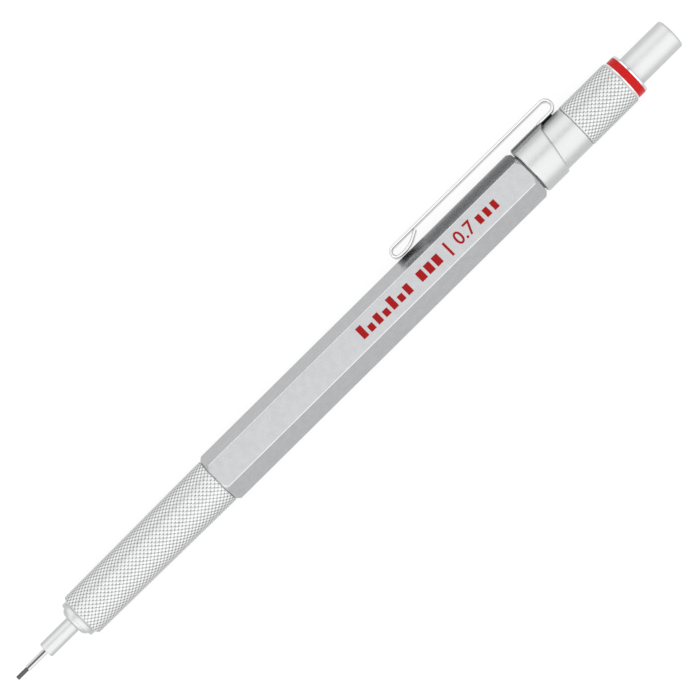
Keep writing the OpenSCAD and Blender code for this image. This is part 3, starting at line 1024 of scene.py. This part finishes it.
def lettering(words, size, weight=0.0, step=None):
    """Mesh points and faces of plain words, centred on the origin in the X-Y plane."""
    curve = bpy.data.curves.new("words", "FONT")
    curve.body = words
    curve.size = size
    curve.align_x = curve.align_y = "CENTER"
    curve.extrude = INK / 2
    curve.offset = weight
    curve.resolution_u = 4
    holder = placed("words", curve)
    mesh = evaluated_mesh(holder)
    if step:
        slice_across(mesh, step)
    points = [v.co.copy() for v in mesh.vertices]
    faces = [tuple(p.vertices) for p in mesh.polygons]
    bpy.data.objects.remove(holder)
    bpy.data.curves.remove(curve)
    bpy.data.meshes.remove(mesh)
    return points, faces


GRADES = ["HB", "F", "H", "2H", "2B", "B"]
GRADE_SIZE = 1.35
GRADE_STEP = 0.15
INK = 0.012


def grade_print():
    """Lead grades round the drum, so that one shows in the window."""
    marks = []
    for i, words in enumerate(GRADES):
        points, faces = lettering(words, GRADE_SIZE, step=GRADE_STEP)
        turn = TAU * i / len(GRADES) - pi / 2
        marks.append(([polar(window_middle_x + p.x, drum_r + p.z, turn - p.y / drum_r) for p in points],
                      faces))
    obj = solid("grade_print", *join(marks))
    obj.data.materials.append(finishes["dark_ink"])
    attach(obj, body_of_node["grade_drum"])


grade_print()


print_x, print_end_x = 73.4, 103.5
PRINT_LOW = -0.85
BAR_HEIGHTS, BAR_TALL, BAR_PITCH, BAR_WIDTH = (1.0, 0.55, 0.8, 0.55, 1.0, 0.55, 0.8), 2.16, 1.62, 1.05
BLOCK_PITCH, BLOCK_WIDTH, BLOCK_TALL = 1.7, 1.2, 1.75
RULE_WIDTH, RULE_HALF = 0.42, 1.3
FIGURE_SIZE, FIGURE_WEIGHT = 3.1, 0.035
TAIL_GAP, TAIL_TALL = 0.8, 1.5


def bar(x, width, tall, low=PRINT_LOW):
    """A thin upright bar of ink."""
    return slab(x, x + width, low, low + tall, INK / 2)


def barrel_print():
    """Plain red marks on the upper flat: a run of bars, three blocks, a rule and a lead width."""
    marks = [bar(print_x + BAR_PITCH * i, BAR_WIDTH, BAR_TALL * share)
             for i, share in enumerate(BAR_HEIGHTS)]
    block_x = print_x + BAR_PITCH * len(BAR_HEIGHTS) + 1.3
    marks += [bar(block_x + BLOCK_PITCH * i, BLOCK_WIDTH, BLOCK_TALL) for i in range(3)]
    rule_x = block_x + 6.2
    marks.append(bar(rule_x, RULE_WIDTH, 2 * RULE_HALF, -RULE_HALF))
    points, faces = lettering("0.7", FIGURE_SIZE, FIGURE_WEIGHT)
    shift = Vector((rule_x + 1.9 - min(p.x for p in points), 0, 0))
    marks.append(([p + shift for p in points], faces))
    tail_x = max(p.x for p in marks[-1][0]) + TAIL_GAP
    tail = (print_end_x - tail_x) / 3
    marks += [bar(tail_x + tail * i, tail * 0.6, TAIL_TALL) for i in range(3)]
    points, faces = join(marks)
    lift = Vector((0, 0, flat + INK / 2))
    obj = solid("barrel_print", [p + lift for p in points], faces)
    obj.data.materials.append(finishes["print_red"])
    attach(obj, body_of_node["hex_barrel"])


barrel_print()


# ---- clip band and clip

CLIP_T = 0.5
CURL_OUTER_R, BEND_OUTER_R, HEEL_OUTER_R = 1.15, 1.39, 5.6
clip_half_w = reach("clip_arm")
clip_x, clip_end_x = ends("clip_arm")
curl_r, bend_r, heel_r = (r - CLIP_T / 2 for r in (CURL_OUTER_R, BEND_OUTER_R, HEEL_OUTER_R))
bend_x = clip_end_x - BEND_OUTER_R
tongue_y = tongue_top - CLIP_T / 2
bend_y = tongue_y + bend_r
curl_x = clip_x + CURL_OUTER_R
CURL_Y, CURL_STOP = 5.81, 238
heel_x, HEEL_Y = curl_x + 0.7, 10.211
HEEL_START, HEEL_STOP, HEEL_LENGTH = 262, 300, 1.2
SHEET_EDGE = 0.2
BAND_ROUND, BAND_ROUND_AT_TONGUE = 0.34, 0.08
CLIP_EDGE_SHADE = 0.28
SHADE_BLOCK_HALF = 0.85
shade_block_y = indicator_r + 0.01


def under_clip(p):
    """Painted shade on the side of the band that the clip covers, darker towards +Y."""
    share = min(1, max(0, (p.y - BAND_SHADE_FROM) / (BAND_SHADE_TO - BAND_SHADE_FROM)))
    return BAND_SHADE * share * share * (3 - 2 * share)


def clip_band():
    """The clip's band, and a block under its tongue, painted black to stand for the shade between
    tongue and sleeve.
    """
    angles = around(288)
    front, steps = BAND_ROUND, 6

    def rear(a):
        """Rounding of the rear edge, crisper where it meets the tongue."""
        return BAND_ROUND - (BAND_ROUND - BAND_ROUND_AT_TONGUE) * tongue_side(a)

    rings = [ring(band_x, indicator_r, angles)]
    for i in range(steps + 1):
        a = pi / 2 * i / steps
        drop, along = front * (1 - sin(a)), front * (1 - cos(a))
        rings.append(ring(band_x + along,
                          lambda t, d=drop: max(band_radius(t) - d, indicator_r), angles))
    for i in range(1, 10):
        share = i / 10
        rings.append(ring(lambda t, s=share: (band_x + front) * (1 - s) + (band_rear(t) - rear(t)) * s,
                          band_radius, angles))
    for i in range(steps + 1):
        a = pi / 2 * i / steps
        drop, along = 1 - cos(a), 1 - sin(a)
        rings.append(ring(lambda t, s=along: band_rear(t) - rear(t) * s,
                          lambda t, d=drop: max(band_radius(t) - rear(t) * d, indicator_r), angles))
    rings.append(ring(band_rear, indicator_r, angles))
    points, faces = skin(rings)
    shade_block = slab(band_long_x - 0.8, bend_x - 0.05, shade_block_y, tongue_y, SHADE_BLOCK_HALF)
    # The block under the tongue is painted fully dark, as shade.
    grime = [under_clip(p) for p in points] + [1.0] * len(shade_block[0])
    dress(solid("clip_band_fine", *join([(points, faces), shade_block]), 50, {"grime": grime}), "clip_band")


clip_band()


def arc(x, y, r, start, stop, steps):
    """Points on an arc in the X-Y plane, with its angles in degrees."""
    turns = [radians(start + (stop - start) * i / steps) for i in range(steps + 1)]
    return [Vector((x + r * cos(a), y + r * sin(a), 0)) for a in turns]


def clip_path():
    """Middle line of the sheet: tongue, U-bend, leg, curl, and the heel that touches the barrel."""
    tongue = [Vector((band_long_x - 0.6 + i * 0.4, tongue_y, 0)) for i in range(7)]
    bend = arc(bend_x, bend_y, bend_r, -90, 90, 24)
    curl = arc(curl_x, CURL_Y, curl_r, 90, CURL_STOP, 24)
    heel = arc(heel_x, HEEL_Y, heel_r, HEEL_START, HEEL_STOP, 12)
    leg = [bend[-1].lerp(curl[0], i / 24) for i in range(1, 24)]
    tilt = radians(HEEL_STOP) - radians(270)
    slope = Vector((cos(tilt), sin(tilt), 0))
    tail = [heel[-1] + slope * HEEL_LENGTH * i / 4 for i in range(1, 5)]
    return tongue + bend + leg + curl + heel + tail


def clip():
    """The clip's sheet, swept along its path."""
    path = clip_path()
    section = rounded_slot(CLIP_T / 2, clip_half_w, SHEET_EDGE, 3)
    rings = []
    for i, here in enumerate(path):
        along = (path[min(i + 1, len(path) - 1)] - path[max(i - 1, 0)]).normalized()
        across = Vector((-along.y, along.x, 0))
        rings.append([here + across * t + Vector((0, 0, w)) for t, w in section])
    # Painted shade on the sheet's rounded corners, darkest where they turn towards its broad faces.
    grime = [CLIP_EDGE_SHADE * abs(t) / (CLIP_T / 2) for t, w in section] * len(path)
    obj = solid("clip_fine", *capped(rings), 50, {"grime": grime})
    obj.data.materials.append(finishes["spring_steel"])
    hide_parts("clip_arm")
    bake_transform(obj)


clip()


# ---- knob, red ring and end collar

knob_x, knob_rim_x = ends("indicator_knob")
knob_r = reach("indicator_knob")
red_x, collar_x = ends("red_ring")
hub_x, collar_end_x = ends("end_collar")
rim_r = reach("red_ring")
hub_r = 3.3
collar_bore_r = button_r + 0.07
knurl_end_x = knob_rim_x - 0.3
KNOB_CHAMFER = 0.12
KNOB_LIP = 0.07


def knob_limit(x):
    """Cones that trim the knurl at both ends of the knob."""
    front = knob_r - KNOB_CHAMFER + (x - knob_x)
    rear = rim_r + 0.06 + (knurl_end_x - x)
    return min(front, rear)


knurled("indicator_knob", [
    (knob_x - KNOB_LIP, drum_r + 0.1), (knob_x - KNOB_LIP, indicator_r - 0.12, 0.03)], [
    (knob_rim_x, rim_r, 0.05), (knob_rim_x, hub_r), (hub_x, hub_r), (hub_x, collar_bore_r),
    (drum_end_x, collar_bore_r), (drum_end_x, drum_r), (knob_x, drum_r)],
    knob_x, knurl_end_x, lambda x: knob_r, knob_limit)
turned("red_ring", [
    (red_x, hub_r), (red_x, rim_r, 0.07), (collar_x, rim_r, 0.07), (collar_x, hub_r)], 128)
turned("end_collar", [
    (hub_x, collar_bore_r), (hub_x, hub_r), (collar_x, hub_r), (collar_x, rim_r, 0.06),
    (collar_end_x, rim_r, 0.22), (collar_end_x, collar_bore_r, 0.05)], 128, "bright_steel")


# ---- stage, light and camera

FLOOR_WHITE = 0.16
FLOOR_GLOW = 0.82
FLOOR_HALF = 3.0


def studio_floor():
    """White paper that glows as much as the tent would light it, so that it stays white."""
    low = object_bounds()[0].z
    corners = [Vector((x * FLOOR_HALF, y * FLOOR_HALF, low))
               for x, y in ((-1, -1), (1, -1), (1, 1), (-1, 1))]
    mesh = bpy.data.meshes.new("floor")
    mesh.from_pydata(corners, [], [(0, 1, 2, 3)])
    floor = placed("floor", mesh)
    material, shader = new_finish("floor_paper", (FLOOR_WHITE,) * 3, 0, 0.9)
    set_inputs(shader, {"Specular IOR Level": 0.05, "Emission Color": (1, 1, 1, 1),
                        "Emission Strength": FLOOR_GLOW})
    floor.data.materials.append(material)


TENT_FRONT, TENT_BACK = 1.87, 1.75
TENT_WEST, TENT_EAST = 1.3, 0.65
HORIZON_FRONT, HORIZON_BACK = 0.85, 0.5
STRIP, STRIP_AT = 0.42, 15
STRIP_INNER, STRIP_OUTER = 2.5, 10.5


def light_tent():
    """A white tent, brightest in front of the tip. A long gap above the pencil stays darker."""
    world = bpy.data.worlds.new("light_tent")
    bpy.context.scene.world = world
    world.use_nodes = True
    nodes, link = links(world)
    place = nodes.new("ShaderNodeTexCoord")
    split = nodes.new("ShaderNodeSeparateXYZ")
    link(place.outputs["Generated"], split.inputs["Vector"])
    lean = calculate(world, "ARCTAN2", split.outputs["Y"], split.outputs["Z"])
    wall = ramp(world, lean, TENT_FRONT, TENT_BACK, radians(-10), radians(40))
    off = calculate(world, "ABSOLUTE", calculate(world, "SUBTRACT", lean, radians(STRIP_AT)), 0)
    gap = ramp(world, off, STRIP, 1, radians(STRIP_INNER), radians(STRIP_OUTER))
    west = ramp(world, split.outputs["X"], TENT_WEST, 1, -1, -0.75)
    east = ramp(world, split.outputs["X"], 1, TENT_EAST, 0.1, 0.8)
    edge = ramp(world, lean, HORIZON_FRONT, HORIZON_BACK, radians(-60), radians(60))
    rise = ramp(world, split.outputs["Z"], 0, 1, 0, 0.35)
    below = calculate(world, "SUBTRACT", 1, rise)
    lack = calculate(world, "MULTIPLY", calculate(world, "SUBTRACT", 1, edge), below)
    horizon = calculate(world, "SUBTRACT", 1, lack)
    strength = wall
    for share in (gap, west, east, horizon):
        strength = calculate(world, "MULTIPLY", strength, share)
    link(strength, nodes["Background"].inputs["Strength"])
    set_inputs(nodes["Background"], {"Color": (1, 1, 1, 1)})


CAMERA_TURN, CAMERA_TILT = 44.66, 6
CAMERA_TARGET_X, CAMERA_DISTANCE, CAMERA_LENS = 0.070635, 0.622, 205.2


def photo_camera():
    """Seen from above, with the pencil running from the lower left to the upper right."""
    turn, tilt = radians(CAMERA_TURN), radians(CAMERA_TILT)
    back = Vector((0, -sin(tilt), cos(tilt)))
    upward = Vector((0, cos(tilt), sin(tilt)))
    along = Vector((1, 0, 0))
    right = along * cos(turn) - upward * sin(turn)
    up = along * sin(turn) + upward * cos(turn)
    lens = bpy.data.cameras.new("camera")
    lens.lens = CAMERA_LENS
    lens.sensor_width = 36
    lens.clip_start = 0.01
    camera = placed("camera", lens)
    facing = Matrix((right, up, back)).transposed().to_4x4()
    target = Vector((CAMERA_TARGET_X, 0, 0))
    camera.matrix_world = Matrix.Translation(target + back * CAMERA_DISTANCE) @ facing
    bpy.context.scene.camera = camera


studio_floor()
light_tent()
photo_camera()
bpy.context.scene.view_settings.view_transform = "Standard"
